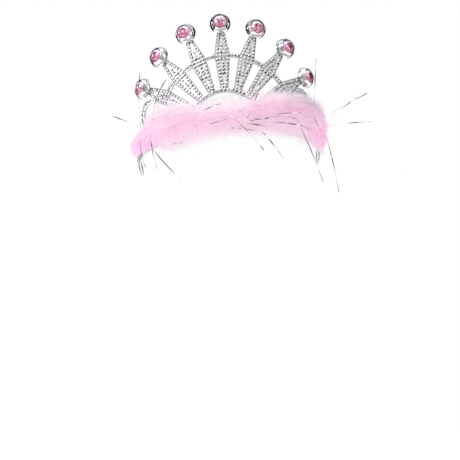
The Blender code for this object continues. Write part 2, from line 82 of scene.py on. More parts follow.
# Back and front face of each bar, as shares of WALL out from its middle
SPIKE_FACES = (-0.50, 0.50)
BAND_FACES = (-0.48, 0.38)
APRON_FACES = (-0.47, 0.26)
RING_FACES = (-0.46, 0.34)
SCROLL_FACES = (-0.44, 0.36)
LINK_FACES = (-0.42, 0.30)
PAD_FACES = (-0.40, 0.45)

APRON_REACH = 0.060
APRON_MIDDLE_HEIGHT = 0.013
APRON_FOOT_SHARE = 0.4
SCROLL_PLACE = 0.068
SCROLL_HEIGHT = 0.028
SCROLL_RADIUS = 0.010
SCROLL_START = math.radians(45)
SCROLL_END = math.radians(215)
SCROLL_WIDTH = 0.0048

# Cast imitation stones
CAST_RADIUS = 0.0015
CAST_HEIGHT = 0.001
CAST_PITCH = 0.0031
CAST_SIDES = 6
CAST_ACROSS_PITCH = CAST_PITCH * 0.84
CAST_EDGE_ROOM = CAST_RADIUS * 0.75
CAST_BAND_COVER = 0.010
RING_STONES_REACH = math.radians(72)
LINK_STONES = (0.2, 0.5, 0.8)
CAST_SIZES = (0.88, 1.06)
CAST_SLANT = 0.12
CAST_SEED = 11

# Tones of their facets. The shaded ones face down to the right and are paler on the lit left side
BRIGHT_TONES = (0.66, 1.0)
GREY_FACETS = 0.14
GREY_TONE = 0.5
SHADE_TURN = math.radians(-60)
SHADE_TURN_SPREAD = 0.5
SHADE_REACH = 0.45
SHADED_TONES = (0.02, 0.30)
SHADED_SHOULDERS = (0.15, 1.0)
LIT_SIDE_TONE = 0.448
LIT_SIDE_START = 0.010
LIT_SIDE_FULL = 0.040

# radius, height and turn: shares of CAST_RADIUS, of CAST_HEIGHT and of one side
CAST_LEVELS = ((1.0, -0.3, 0.0), (1.0, 0.15, 0.0), (0.70, 0.70, 0.5), (0.34, 1.0, 0.0))

# Cups and cut stones
CUP_PLACE_RADIUS = 0.0888
CUP_RADIUS = 0.0083
CUP_DEPTH = 0.0055
CUP_SIDES = 64
CUP_FLANK_STEPS = 12
CUP_LIP = 0.0003
CUP_LIP_STEPS = 6
CUP_LIP_RISE = 0.0008
GIRDLE_HEIGHT = CUP_DEPTH - CUP_LIP_RISE
PAD_RADIUS = 0.005
SEAT_GAP = 0.0003
STONE_RADIUS = 0.0056
STONE_CROWN = 0.0024
STONE_PAVILION = 0.0022
STONE_GIRDLE = 0.0004
STONE_HALF_SIDES = 8
TABLE_SHARE = 0.50
SHOULDER_SHARE = 0.76
SHOULDER_RISE_SHARE = 0.64
STONE_SEED = 5

# Tones of their facets, from 0, wine, to 1, white
TABLE_REACH = 0.42
TABLE_TONES = (0.12, 0.22, 0.72)
TABLE_CHANCES = (0.45, 0.30, 0.25)
UNDER_TONE = 0.18
CROWN_TONE = 0.78
CROWN_TONE_RISE = 0.24
CROWN_TONE_FALL = 0.14
STONE_TONE_SPREAD = 0.14

# The down, laid over the trim's own form
TRIM_LEFT_REACH = 0.098
TRIM_RIGHT_REACH = 0.093
TRIM_HEIGHT = 0.042
TRIM_DEPTH = 0.022
CAST_CLEAR = 0.0009
TRIM_BACK = WALL / 2 + CAST_CLEAR + SEAT_GAP

# along: share of the reach on that side; centre, half and depth: shares of TRIM_HEIGHT
# above the band's middle, of TRIM_HEIGHT and of TRIM_DEPTH
TRIM_SECTIONS = np.array((
    # along, centre, half, depth
    (-1.00, 0.17, 0.05, 0.08),
    (-0.95, 0.19, 0.14, 0.17),
    (-0.86, 0.16, 0.20, 0.27),
    (-0.77, 0.14, 0.22, 0.30),
    (-0.70, 0.14, 0.26, 0.32),
    (-0.62, 0.25, 0.41, 0.36),
    (-0.43, 0.18, 0.46, 0.88),
    (-0.26, 0.12, 0.38, 0.82),
    (-0.08, 0.09, 0.28, 0.60),
    (0.06, 0.09, 0.27, 0.56),
    (0.23, 0.18, 0.36, 0.74),
    (0.40, 0.27, 0.40, 0.92),
    (0.58, 0.31, 0.41, 0.94),
    (0.74, 0.35, 0.45, 0.58),
    (0.86, 0.34, 0.44, 0.40),
    (0.95, 0.25, 0.35, 0.28),
    (1.00, 0.16, 0.23, 0.16),
))

# Each length of down: its name, the stretch of the trim that it covers and its tufts
DOWN_LENGTHS = (
    # name, from, to, tufts
    ("down_left_tail", -0.99, -0.66, 200),
    ("down_left", -0.68, -0.30, 210),
    ("down_middle", -0.34, 0.28, 210),
    ("down_right", 0.24, 0.66, 210),
    ("down_right_end", 0.62, 0.99, 190),
)
TUFT_BARBS = 26
TUFT_SPREAD = 0.020
TUFT_TURN = 0.13
TUFT_REACH = 0.94
TUFT_REACH_SPREAD = 0.10
TUFT_LEAN = 0.0045
STRAY_SHARE = 0.16
STRAY_REACHES = (0.05, 0.32)
ROOT_SPREAD = 0.4
ROOT_RISE = 0.7
ROOT_DEPTH = 0.38
BARB_REACHES = (0.72, 1.06)
BARB_END = 0.995
BARB_SCATTER = 0.0016
BARB_BOW = 0.0012
PARTING_RISE = -0.22
PARTING_WIDTH = 0.34
COMBED_LENGTHS = (0.004, 0.013)
DROOP = 0.0008
THIN_SIZE = 0.25
FULL_HALF = 0.0126
CORD_DEPTH_SHARE = 0.22
CORE_SHARE = 0.45
CORE_END = 0.985
CORE_STATIONS = 90
CORE_RISE = 0.97
CORE_ROWS = 15
DOWN_SEED = 21
TUFT_TINT = 0.26
# Where the painted shade on the down's upper right side starts, and how deep it is
DOWN_SHADE_START = 0.042
DOWN_SHADE_FOOT = -0.005
DOWN_SHADE_DEPTH = 0.55
ARCH_REACH = RING_RADIUS - RING_WIDTH / 2
ARCH_BARBS = 700
ARCH_STRETCH = 0.96
ARCH_TIPS = (0.70, 1.02)
ARCH_ROOTS = (0.80, 0.98)
ARCH_SPLAY = 1.03
ARCH_BEHIND = (0.0005, 0.0040)
ARCH_SHORTEST = 0.001
ARCH_SEED = 31
FRINGE_BARBS = 3000
FRINGE_STRETCH = (-0.55, 0.97)
FRINGE_RISE = -0.95
FRINGE_ROOT_RISE = -0.45
FRINGE_ROOTS = (0.45, 0.85)
FRINGE_TIPS = (0.95, 1.08)
FRINGE_SCATTER = 0.0022
FRINGE_HANG = (0.0005, 0.0050)
FINE_BOW = 0.0008
FRINGE_SEED = 32
BARB_WIDTH = 0.00016
BARB_TAPER = 0.8
BARB_STEPS = 6
TWIG_WIDTH = 0.00009
TWIG_LENGTH = 0.0026
TWIG_FOOT_LENGTH = 1.05
TWIG_LENGTH_LOSS = 0.55
TWIG_LENGTHS = (0.6, 1.2)
TWIG_START = 0.08
TWIG_FORWARD = 0.55
TWIG_SCATTER = 0.35
TWIGS = 20

# Tinsel
THREAD_SHARE = 0.96
THREAD_STATIONS = 42
THREAD_CLEAR = 0.0011
STRAND_STEPS = 26
TINSEL_SEED = 3
TINSEL_REACH = 0.060
FILM_WIDTH = 0.00085
FILM_THICKNESS = 0.00012
FILM_SIDE = (0.31, -0.52, 0.80)
THREAD_FILM_WIDTH = 0.00012
THREAD_STEPS = 160
THREAD_TWIST = 60.0
LONG_TWIST = 5.0
LYING_TWIST = 4.0
SIGHT_STEP = 1e-4

# Places along a strand, and its width there as shares of FILM_WIDTH
LONG_TAPER = ((0.0, 0.35, 0.60, 1.0), (0.25, 0.30, 1.0, 0.7))
LYING_TAPER = ((0.0, 0.5, 1.0), (0.5, 1.0, 0.6))

# root: share of the trim's reach; along, out, up and bulge: shares of TINSEL_REACH
LONG_STRANDS = (
    # root, along, out, up, bulge
    (0.87, 0.01, 0.51, 0.23, 0.03),
    (0.83, 0.09, 0.63, 0.18, 0.03),
    (0.90, 0.14, 0.62, -0.03, 0.03),
    (0.62, -0.01, 0.12, 0.64, 0.00),
    (0.74, 0.41, -0.10, -1.02, 0.03),
    (0.42, 0.46, -0.06, -1.05, 0.04),
    (0.10, 0.51, 0.08, -0.72, 0.10),
    (0.00, 0.44, 0.14, -0.63, 0.08),
    (-0.62, 0.37, -0.24, -0.80, 0.15),
    (-0.57, -0.04, -0.12, -0.61, 0.05),
    (-0.67, -0.04, -0.08, -0.46, 0.05),
    (-0.62, -0.15, 0.42, 0.11, 0.02),
    (-0.67, 0.26, 0.19, 0.74, 0.03),
    (-0.50, 0.30, 0.07, 0.45, 0.06),
)

# Strands that lie on the down. rise: from -1 at the trim's lower edge to 1 at its top;
# proud: how far in front of its skin, in metres
LYING_STRANDS = (
    # from share, from rise, to share, to rise, proud
    (0.18, -0.45, 0.49, -0.48, 0.0016),
    (0.16, -0.52, 0.52, -0.30, 0.0022),
    (0.23, -0.62, 0.72, -0.70, 0.0018),
    (0.10, -0.55, 0.34, -0.78, 0.0016),
    (0.03, -0.75, 0.24, -0.98, 0.0024),
    (-0.14, 0.10, -0.04, 0.62, 0.0016),
    (-0.16, -0.50, 0.02, -0.30, 0.0014),
    (0.14, -0.42, 0.27, 0.98, 0.0030),
    (-0.42, -0.86, -0.34, -0.93, 0.0016),
    (0.60, -0.20, 0.80, -0.52, 0.0016),
)

# The camera: level, in front of the fan's centre, rolled to the picture's lean
CAMERA_DISTANCE = 1.53
CAMERA_ROLL = math.radians(-3.9)
CAMERA_ASIDE = 0.0022
CAMERA_BELOW = 0.0802
METRES_PER_PIXEL = 0.00081
SIGHT_DISTANCE = 1.6
PICTURE_PIXELS = 460
SENSOR_MM = 36.0
FLOOR_HEIGHT = -0.30
FLOOR_REACH = 0.5
ROOM_STRENGTH = 0.82
LIGHT_TARGET = Vector((0.0, 0.02, 0.03))

SOFTBOXES = (
    # name, place, size, watts
    ("key", (-1.2, -0.75, 1.0), (0.9, 0.7), 9.0),
    ("fill", (1.1, -0.8, 0.35), (0.5, 0.7), 1.5),
    ("top", (0.0, -0.1, 1.4), (0.9, 0.9), 6.0),
    ("side", (-1.13, 0.30, 0.42), (0.16, 0.16), 3.0),
)


# Shader maths


class Wire:
    """A node's output. Python's operators on it add Math nodes."""

    def __init__(self, finish, socket):
        self.finish = finish
        self.socket = socket

    def maths(self, operation, *values):
        sockets = dict(enumerate(values))
        return self.finish.node("ShaderNodeMath", {"operation": operation}, sockets)

    def __add__(self, other):
        return self.maths("ADD", self, other)

    def __radd__(self, other):
        return self.maths("ADD", other, self)

    def __sub__(self, other):
        return self.maths("SUBTRACT", self, other)

    def __rsub__(self, other):
        return self.maths("SUBTRACT", other, self)

    def __mul__(self, other):
        return self.maths("MULTIPLY", self, other)

    def __rmul__(self, other):
        return self.maths("MULTIPLY", other, self)

    def clamp(self):
        return self.maths("MINIMUM", self.maths("MAXIMUM", self, 0.0), 1.0)


class Finish:
    """A node tree in the making."""

    def __init__(self, tree):
        self.tree = tree

    def plug(self, socket, value):
        if isinstance(value, Wire):
            self.tree.links.new(value.socket, socket)
        elif hasattr(value, "__len__") and len(value) == 3 and socket.type == "RGBA":
            socket.default_value = (*value, 1.0)
        else:
            socket.default_value = value

    def node(self, kind, settings=None, sockets=None, output=0):
        made = self.tree.nodes.new(kind)
        for name, value in (settings or {}).items():
            if name == "stops":
                self.set_stops(made.color_ramp, value)
            else:
                setattr(made, name, value)
        for name, value in (sockets or {}).items():
            self.plug(made.inputs[name], value)
        return Wire(self, made.outputs[output])

    def set_stops(self, ramp, stops):
        while len(ramp.elements) < len(stops):
            ramp.elements.new(0.5)
        for element, (place, colour) in zip(ramp.elements, stops):
            element.position = place
            element.color = (*colour, 1.0)

    def mix(self, share, first, second):
        settings = {"data_type": "RGBA"}
        return self.node("ShaderNodeMix", settings, {0: share, 6: first, 7: second}, output=2)

    def ramp(self, share, stops):
        return self.node("ShaderNodeValToRGB", {"stops": stops}, {0: share})

    def place(self):
        return self.node("ShaderNodeTexCoord", output="Object")

    def noise(self, scale, detail=2.0, roughness=0.5):
        sockets = {"Vector": self.place(), "Scale": scale, "Detail": detail, "Roughness": roughness}
        return self.node("ShaderNodeTexNoise", sockets=sockets)

    def mark(self, name):
        return self.node("ShaderNodeAttribute", {"attribute_name": name}, output="Fac")

    def bump(self, height, strength, distance):
        sockets = {"Height": height, "Strength": strength, "Distance": distance}
        return self.node("ShaderNodeBump", sockets=sockets)


def new_finish(name):
    material = bpy.data.materials.new(name)
    material.use_nodes = True
    return material, Finish(material.node_tree)


def past(value, edge, slope):
    """Rises from 0 at the edge to 1, as steep as the slope."""
    return ((value - edge) * slope).clamp()


def short_of(value, edge, slope):
    """Falls from 1 to 0 at the edge."""
    return ((edge - value) * slope).clamp()


def dress(finish, **sockets):
    """Sets the Principled shader's sockets, named with _ for a space."""
    shader = finish.tree.nodes["Principled BSDF"]
    for name, value in sockets.items():
        finish.plug(shader.inputs[name.replace("_", " ")], value)


def moulded_silver():
    """Metallised plastic: bright, a little clouded, with a painted dark reflection along its rims and
    edges.
    """
    material, finish = new_finish("moulded_silver")
    cloud = finish.noise(140.0, 3.0)
    speck = finish.noise(900.0)
    tone = (cloud * 0.5 + speck * 0.6 - 0.1).clamp()
    stops = ((0.25, (0.50, 0.50, 0.52)), (0.50, (0.86, 0.86, 0.88)), (0.75, (0.96, 0.96, 0.97)))
    # Painted dark reflection: rims and edges greyed by the edge mark
    edge_shade = (finish.mark("edge") * (0.75 + speck * 0.4)).clamp()
    dress(
        finish,
        Base_Color=finish.mix(edge_shade, finish.ramp(tone, stops), (0.12, 0.12, 0.13)),
        Metallic=0.75,
        Roughness=cloud * 0.22 + 0.25,
        Normal=finish.bump(finish.noise(420.0), 0.20, 0.0004),
    )
    return material


def cast_silver():
    """Facets of the imitation stones: each has its own tone, from black to white, with painted shade on the
    facets that face down to the right.
    """
    material, finish = new_finish("cast_silver")
    tone = finish.mark("tone")
    speck = finish.noise(1500.0, 1.0)
    shade = (tone + (speck - 0.5) * 0.35).clamp()
    stops = (
        (0.00, (0.010, 0.010, 0.014)),
        (0.16, (0.05, 0.05, 0.06)),
        (0.32, (0.30, 0.30, 0.33)),
        (0.60, (0.68, 0.68, 0.71)),
        (1.00, (0.96, 0.96, 0.97)),
    )
    dress(
        finish,
        Base_Color=finish.ramp(shade, stops),
        Metallic=0.75 - tone * 0.35,
        Roughness=0.42 - tone * 0.18,
    )
    return material


def polished_cup():
    """Mirror-bright dome with greyer smears."""
    material, finish = new_finish("polished_cup")
    smear = finish.noise(260.0, 3.0)
    stops = ((0.36, (0.50, 0.49, 0.50)), (0.48, (0.78, 0.79, 0.78)), (0.62, (0.93, 0.93, 0.94)))
    dress(
        finish,
        Base_Color=finish.ramp(smear, stops),
        Metallic=1.0,
        Roughness=smear * 0.12 + 0.02,
        Normal=finish.bump(finish.noise(160.0), 0.15, 0.0004),
    )
    return material


def cut_pink():
    """Foil-backed stone: each facet has its own tint, from wine through pink to white, with a painted
    highlight on its upper facets.
    """
    material, finish = new_finish("cut_pink")
    tone = finish.mark("tone")
    stops = (
        (0.00, (0.14, 0.02, 0.04)),
        (0.18, (0.40, 0.095, 0.13)),
        (0.34, (0.66, 0.17, 0.30)),
        (0.50, (0.82, 0.33, 0.54)),
        (0.68, (0.90, 0.60, 0.78)),
        (0.82, (0.78, 0.68, 0.93)),
        (1.00, (1.00, 0.96, 1.00)),
    )
    dress(
        finish,
        Base_Color=finish.ramp(tone, stops),
        Metallic=0.35,
        Roughness=0.10,
        Coat_Weight=0.5,
        Coat_Roughness=0.03,
    )
    return material


def marabou_down():
    """Barbs: deep at the root, whitish at the tip, with painted shade greying the upper right side."""
    material, finish = new_finish("marabou_down")
    rise = finish.mark("rise")
    blush = finish.mark("blush")
    pale = finish.mix(blush, (0.87, 0.82, 0.85), (0.96, 0.74, 0.88))
    deep = finish.mix(blush, (0.96, 0.80, 0.89), (0.99, 0.49, 0.79))
    place = {0: finish.place()}
    aside, up = (finish.node("ShaderNodeSeparateXYZ", None, place, axis) for axis in (0, 2))
    # Painted shade: the upper right side is mixed towards grey, less where the pink is deep
    corner = past(aside, DOWN_SHADE_START, 22.0) * past(up, DOWN_SHADE_FOOT, 60.0)
    painted_shade = corner * (1.0 - blush * 0.85) * DOWN_SHADE_DEPTH
    colour = finish.mix(painted_shade, finish.mix(rise, deep, pale), (0.22, 0.26, 0.24))
    dress(
        finish,
        Base_Color=colour,
        Roughness=0.95,
        Sheen_Weight=0.2,
        Sheen_Roughness=0.6,
        Specular_IOR_Level=0.1,
        # Painted glow: the emission stands in for light scattered through the down
        Emission_Color=colour,
        Emission_Strength=0.17,
    )
    return material


def down_core():
    """Matted down: pale where it is thin, deep pink along the parting."""
    material, finish = new_finish("down_core")
    tuft = finish.noise(420.0, 4.0, 0.65)
    pale = finish.ramp(tuft, ((0.3, (0.90, 0.74, 0.82)), (0.7, (0.96, 0.86, 0.92))))
    deep = finish.ramp(tuft, ((0.3, (0.96, 0.45, 0.74)), (0.7, (0.98, 0.64, 0.84))))
    colour = finish.mix(finish.mark("blush"), pale, deep)
    dress(
        finish,
        Base_Color=colour,
        # Painted glow: the emission stands in for light scattered through the matted down
        Emission_Color=colour,
        Emission_Strength=0.12,
        Roughness=1.0,
        Sheen_Weight=0.3,
        Normal=finish.bump(tuft, 0.9, 0.002),
        Specular_IOR_Level=0.05,
    )
    return material


def tinsel_film():
    """Metallised film: grey, with painted glints, bright and dark stretches along it."""
    material, finish = new_finish("tinsel_film")
    glint = finish.noise(180.0)
    # Painted glints: white and near-black stretches in the film's colour
    stops = ((0.40, (0.07, 0.07, 0.08)), (0.52, (0.22, 0.22, 0.23)), (0.60, (1.0, 1.0, 1.0)))
    dress(
        finish,
        Base_Color=finish.ramp(glint, stops),
        Metallic=0.9,
        Roughness=glint * 0.2 + 0.08,
    )
    return material


# The bend of the band


def band_place(s):
    """Place of the wall's middle at s along it, and the way it has turned from the front."""
    side = np.where(s < 0, -1.0, 1.0)
    run = np.abs(s)
    front_end = FRONT_BEND_RADIUS * FRONT_BEND_ANGLE
    arm_angle = math.radians(90) + ARM_TOE_IN
    corner_end = front_end + CORNER_BEND_RADIUS * (arm_angle - FRONT_BEND_ANGLE)
    front = np.minimum(run, front_end) / FRONT_BEND_RADIUS
    turned = front + (np.clip(run, front_end, corner_end) - front_end) / CORNER_BEND_RADIUS
    straight = np.maximum(run - corner_end, 0.0)
    x = FRONT_BEND_RADIUS * np.sin(front)
    x += CORNER_BEND_RADIUS * (np.sin(turned) - np.sin(front)) + straight * np.cos(turned)
    y = FRONT_BEND_RADIUS * (1 - np.cos(front))
    y += CORNER_BEND_RADIUS * (np.cos(front) - np.cos(turned)) + straight * np.sin(turned)
    return side * x, y - WALL / 2, side * turned


def band_end():
    corner = math.radians(90) + ARM_TOE_IN - FRONT_BEND_ANGLE
    return FRONT_BEND_RADIUS * FRONT_BEND_ANGLE + CORNER_BEND_RADIUS * corner + ARM_LENGTH


def to_row(points):
    """Flat pattern points (s, n, z) bent round and leant back."""
    s, n, z = np.moveaxis(np.asarray(points, float), -1, 0)
    x, y, turned = band_place(s)
    x = x + n * np.sin(turned)
    y = y - n * np.cos(turned)
    lean_y = y * math.cos(WORN_TILT) + z * math.sin(WORN_TILT)
    lean_z = z * math.cos(WORN_TILT) - y * math.sin(WORN_TILT)
    return np.stack((x, lean_y, lean_z), axis=-1)


# Meshes from arrays


class Heap:
    """Points and faces gathered piece by piece, with a number for each face or point."""

    def __init__(self):
        self.points = []
        self.faces = []
        self.marks = {}
        self.count = 0

    def add(self, points, faces, **marks):
        points = np.asarray(points, float).reshape(-1, 3)
        self.points.append(points)
        self.faces += [np.atleast_2d(group) + self.count for group in faces]
        self.count += len(points)
        for name, values in marks.items():
            self.marks.setdefault(name, []).append(np.asarray(values, float).ravel())

    def mesh(self, name, domain="POINT"):
        mesh = bpy.data.meshes.new(name)
        points = np.concatenate(self.points)
        corners = np.concatenate([group.ravel() for group in self.faces])
        sizes = np.concatenate([np.full(len(group), group.shape[1]) for group in self.faces])
        mesh.vertices.add(len(points))
        mesh.vertices.foreach_set("co", points.ravel())
        mesh.loops.add(len(corners))
        mesh.loops.foreach_set("vertex_index", corners)
        mesh.polygons.add(len(sizes))
        mesh.polygons.foreach_set("loop_start", np.concatenate(([0], np.cumsum(sizes)[:-1])))
        for mark, values in self.marks.items():
            layer = mesh.attributes.new(mark, "FLOAT", domain)
            layer.data.foreach_set("value", np.concatenate(values))
        mesh.update(calc_edges=True)
        return mesh


def turn_faces_out(mesh):
    work = bmesh.new()
    work.from_mesh(mesh)
    bmesh.ops.recalc_face_normals(work, faces=work.faces)
    work.to_mesh(mesh)
    work.free()


def new_object(name, data):
    made = bpy.data.objects.new(name, data)
    bpy.context.scene.collection.objects.link(made)
    return made


def show(name, mesh, material, smooth_degrees=None):
    """Makes the mesh's piece, which rides on the part's one body."""
    mesh.materials.append(material)
    if smooth_degrees:
        mesh.shade_smooth()
        mesh.set_sharp_from_angle(angle=math.radians(smooth_degrees))
    piece = new_object(name, mesh)
    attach(piece, "root")
    return piece


def skin(count, around):
    """Faces round count rings of around points each, with both ends closed."""
    rows = np.arange(count - 1)[:, None] * around
    low = (rows + np.arange(around)).ravel()
    ahead = (rows + np.roll(np.arange(around), -1)).ravel()
    sides = np.stack((low, ahead, ahead + around, low + around), axis=1)
    first = np.arange(around)[::-1]
    last = np.arange(around) + (count - 1) * around
    return [sides, first, last]


# The crown's bars


def spread(start, end, longest):
    steps = max(1, math.ceil(abs(end - start) / longest))
    return np.linspace(start, end, steps + 1)


def ray_point(radius, angle):
    return radius * math.sin(angle), radius * math.cos(angle) - FAN_DROP


def spike_angles():
    middle = (SPIKE_COUNT - 1) / 2
    return [(place - middle) * SPIKE_SPACING for place in range(SPIKE_COUNT)]


def spike_half_width(radius):
    if radius < SPIKE_WIDEST_RADIUS:
        share = (radius - SPIKE_FOOT_RADIUS) / (SPIKE_WIDEST_RADIUS - SPIKE_FOOT_RADIUS)
        start = SPIKE_FOOT_WIDTH
    else:
        share = (SPIKE_TOP_RADIUS - radius) / (SPIKE_TOP_RADIUS - SPIKE_WIDEST_RADIUS)
        start = SPIKE_TOP_WIDTH
    return (start + (SPIKE_WIDEST_WIDTH - start) * max(share, 0.0)) / 2


def arc(centre_across, centre_out, across, out, start, end, steps):
    turns = np.radians(np.linspace(start, end, steps))
    return [(centre_across + across * math.cos(t), centre_out + out * math.sin(t)) for t in turns]


def plain_section(half, low, high):
    """Across, out pairs of a bar with rounded front edges."""
    left = arc(EDGE_ROUND - half, high - EDGE_ROUND, EDGE_ROUND, EDGE_ROUND, 180, 90, EDGE_STEPS)
    right = arc(half - EDGE_ROUND, high - EDGE_ROUND, EDGE_ROUND, EDGE_ROUND, 90, 0, EDGE_STEPS)
    return [(-half, low), *left, *right, (half, low)]


def rimmed_section(half, low, high):
    """Across, out pairs of a bar with a round rim standing along both edges."""
    rim = RIM_WIDTH / 2
    left = arc(rim - half, high - RIM_HEIGHT, rim, RIM_HEIGHT, 180, 0, RIM_STEPS)
    right = arc(half - rim, high - RIM_HEIGHT, rim, RIM_HEIGHT, 180, 0, RIM_STEPS)
    return [(-half, low), *left, *right, (half, low)]


def add_bar(heap, stations, section, faces):
    """Adds a bar along stations of (s, z, direction, half width), marked along its edges where a painted
    dark reflection greys them.
    """
    shade_width, edge_shade = (RIM_WIDTH, 1.0) if section is rimmed_section else (EDGE_ROUND, PLAIN_EDGE_SHADE)
    rings = []
    edges = []
    for s, z, direction, half in stations:
        pairs = np.array(section(half, faces[0] * WALL, faces[1] * WALL))
        ring_s = s + pairs[:, 0] * math.sin(direction)
        ring_z = z - pairs[:, 0] * math.cos(direction)
        rings.append(np.stack((ring_s, pairs[:, 1], ring_z), axis=1))
        # Painted dark reflection: strongest at the bar's edge and fading inwards, on its front only
        darkened = np.clip(1.0 - (half - np.abs(pairs[:, 0])) / shade_width, 0.0, 1.0)
        edges.append(edge_shade * darkened * (pairs[:, 1] > faces[0] * WALL))
    heap.add(to_row(rings), skin(len(rings), len(rings[0])), edge=edges)


def add_spike(heap, angle):
    lower = spread(SPIKE_FOOT_RADIUS - RING_WIDTH / 4, SPIKE_WIDEST_RADIUS, BAR_STEP)
    upper = spread(SPIKE_WIDEST_RADIUS, CUP_PLACE_RADIUS - PAD_RADIUS / 2, BAR_STEP)
    stations = []
    for radius in (*lower, *upper[1:]):
        half = spike_half_width(max(radius, SPIKE_FOOT_RADIUS))
        stations.append((*ray_point(radius, angle), math.pi / 2 - angle, half))
    add_bar(heap, stations, rimmed_section, SPIKE_FACES)


def add_ring(heap):
    reach = math.acos((FAN_DROP + BAND_WIDTH / 4) / RING_RADIUS)
    stations = []
    for angle in spread(-reach, reach, BAR_STEP / RING_RADIUS):
        stations.append((*ray_point(RING_RADIUS, angle), -angle, RING_WIDTH / 2))
    add_bar(heap, stations, plain_section, RING_FACES)


def link_ends(angle):
    """Centres of the link's two ends, just inside the rims of the spikes that it joins."""
    reach = SPIKE_WIDEST_WIDTH / 2 - RIM_WIDTH / 2
    turn = angle + SPIKE_SPACING
    left_s, left_z = ray_point(SPIKE_WIDEST_RADIUS, angle)
    right_s, right_z = ray_point(SPIKE_WIDEST_RADIUS, turn)
    first = (left_s + reach * math.cos(angle), left_z - reach * math.sin(angle))
    second = (right_s - reach * math.cos(turn), right_z + reach * math.sin(turn))
    return first, second


def add_link(heap, angle):
    (s0, z0), (s1, z1) = link_ends(angle)
    direction = math.atan2(z1 - z0, s1 - s0)
    stations = []
    for share in np.linspace(0.0, 1.0, LINK_STATIONS):
        stations.append((s0 + (s1 - s0) * share, z0 + (z1 - z0) * share, direction, LINK_WIDTH / 2))
    add_bar(heap, stations, plain_section, LINK_FACES)


def add_band(heap):
    half = BAND_WIDTH / 2
    end = band_end()
    stations = [(s, 0.0, 0.0, half) for s in spread(-end + half, end - half, BAR_STEP)]
    for share in np.sin(BAND_END_TURNS):
        width = half * math.sqrt(1 - share * share)
        stations.insert(0, (-end + half - half * share, 0.0, 0.0, width))
        stations.append((end - half + half * share, 0.0, 0.0, width))
    add_bar(heap, stations, plain_section, BAND_FACES)


def add_apron(heap):
    outer_slope = 1 / math.tan(spike_angles()[-1])
    foot = -APRON_FOOT_SHARE * BAND_WIDTH
    stations = []
    for s in spread(-APRON_REACH, APRON_REACH, BAR_STEP):
        top = APRON_MIDDLE_HEIGHT
        if abs(s) > RING_RADIUS - RING_WIDTH / 2:
            top = abs(s) * outer_slope - FAN_DROP
        stations.append((s, (top + foot) / 2, 0.0, (top - foot) / 2))
    add_bar(heap, stations, plain_section, APRON_FACES)


def scroll_stations(side, step):
    """Stations of a side scroll, from the outer spike's edge over and down to the band."""
    stations = []
    for turn in spread(SCROLL_START, SCROLL_END, step / SCROLL_RADIUS):
        s = -SCROLL_PLACE + SCROLL_RADIUS * math.cos(turn)
        stations.append((s, SCROLL_HEIGHT + SCROLL_RADIUS * math.sin(turn), turn + math.pi / 2))
    s_end, z_end, heading = stations[-1]
    run = (z_end - BAND_WIDTH / 4) / -math.sin(heading)
    for way in spread(0.0, run, step)[1:]:
        stations.append((s_end + way * math.cos(heading), z_end + way * math.sin(heading), heading))
    if side > 0:
        stations = [(-s, z, math.pi - heading) for s, z, heading in stations]
    return [(s, z, heading, SCROLL_WIDTH / 2) for s, z, heading in stations]


def add_pad(heap, angle):
    s, z = ray_point(CUP_PLACE_RADIUS, angle)
    turns = np.linspace(0, 2 * math.pi, CUP_SIDES, endpoint=False)
    rings = []
    for n in (share * WALL for share in PAD_FACES):
        across = s + PAD_RADIUS * np.cos(turns)
        rings.append(np.stack((across, np.full(CUP_SIDES, n), z + PAD_RADIUS * np.sin(turns)), axis=1))
    heap.add(to_row(rings), skin(2, CUP_SIDES), edge=np.zeros(2 * CUP_SIDES))


def make_crown():
    heap = Heap()
    add_band(heap)
    add_ring(heap)
    add_apron(heap)
    for angle in spike_angles():
        add_spike(heap, angle)
        add_pad(heap, angle)
    for angle in spike_angles()[:-1]:
        add_link(heap, angle)
    for side in (-1, 1):
        add_bar(heap, scroll_stations(side, BAR_STEP), plain_section, SCROLL_FACES)
    mesh = heap.mesh("crown")
    turn_faces_out(mesh)
    crown = show("crown", mesh, moulded_silver(), smooth_degrees=35)
    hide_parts("tiara_frame")


# Cast imitation stones


def spike_places(angle):
    """Rows across one spike, inside its rims: (s, z, out)."""
    places = []
    start = SPIKE_FOOT_RADIUS + CAST_RADIUS
    end = CUP_PLACE_RADIUS - CUP_RADIUS - CAST_RADIUS / 2
    for radius in spread(start, end, CAST_PITCH):
        room = spike_half_width(radius) - RIM_WIDTH - CAST_EDGE_ROOM
        count = 1 + int(2 * room / CAST_ACROSS_PITCH)
        for across in np.linspace(-room, room, count) if count > 1 else (0.0,):
            s, z = ray_point(radius, angle)
            s += across * math.cos(angle)
            z -= across * math.sin(angle)
            places.append((s, z, SPIKE_FACES[1] * WALL - RIM_HEIGHT))
    return places


def cast_places():
    places = []
    for angle in spike_angles():
        places += spike_places(angle)
    for angle in spread(-RING_STONES_REACH, RING_STONES_REACH, CAST_PITCH / RING_RADIUS):
        places.append((*ray_point(RING_RADIUS, angle), RING_FACES[1] * WALL))
    for angle in spike_angles()[:-1]:
        (s0, z0), (s1, z1) = link_ends(angle)
        for share in LINK_STONES:
            places.append((s0 + (s1 - s0) * share, z0 + (z1 - z0) * share, LINK_FACES[1] * WALL))
    for side in (-1, 1):
        for s, z, heading, half in scroll_stations(side, CAST_PITCH)[1:-1]:
            places.append((s, z, SCROLL_FACES[1] * WALL))
        start = TRIM_LEFT_REACH if side < 0 else TRIM_RIGHT_REACH
        for s in spread(start - CAST_BAND_COVER, band_end() - BAND_WIDTH / 2, CAST_PITCH):
            places.append((side * s, 0.0, BAND_FACES[1] * WALL))
    return places


